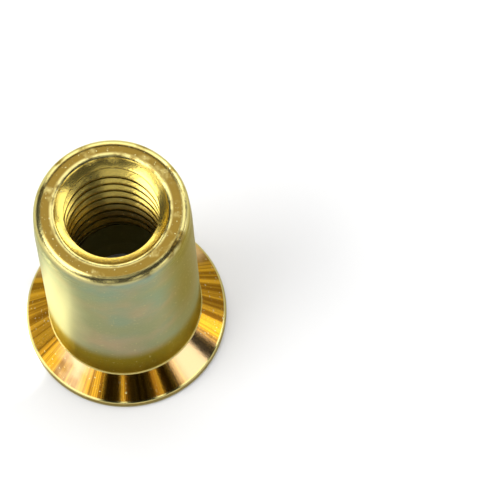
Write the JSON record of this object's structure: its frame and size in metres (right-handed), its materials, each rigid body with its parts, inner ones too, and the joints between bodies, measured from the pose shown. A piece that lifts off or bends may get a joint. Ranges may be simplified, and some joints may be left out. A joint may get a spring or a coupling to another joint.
{
  "type": "rivet nut",
  "caption": "Round blind rivet nut with a countersunk head, a smooth hollow body with a tapered tail, and an internal screw thread at the tail end.",
  "frame": {"origin": "centre of the flat head face, on the nut's axis", "axes": "+Z along the nut's axis from the head to the threaded tail, up as it stands on its head; the nut is round, so +X and +Y are free"},
  "size_m": [0.0144, 0.0144, 0.0205],
  "materials": {
    "yellow_zinc": "bright yellow iridescent zinc plating on steel"
  },
  "bodies": {
    "root": {"rivet_nut": "yellow_zinc"}
  },
  "joints": []
}
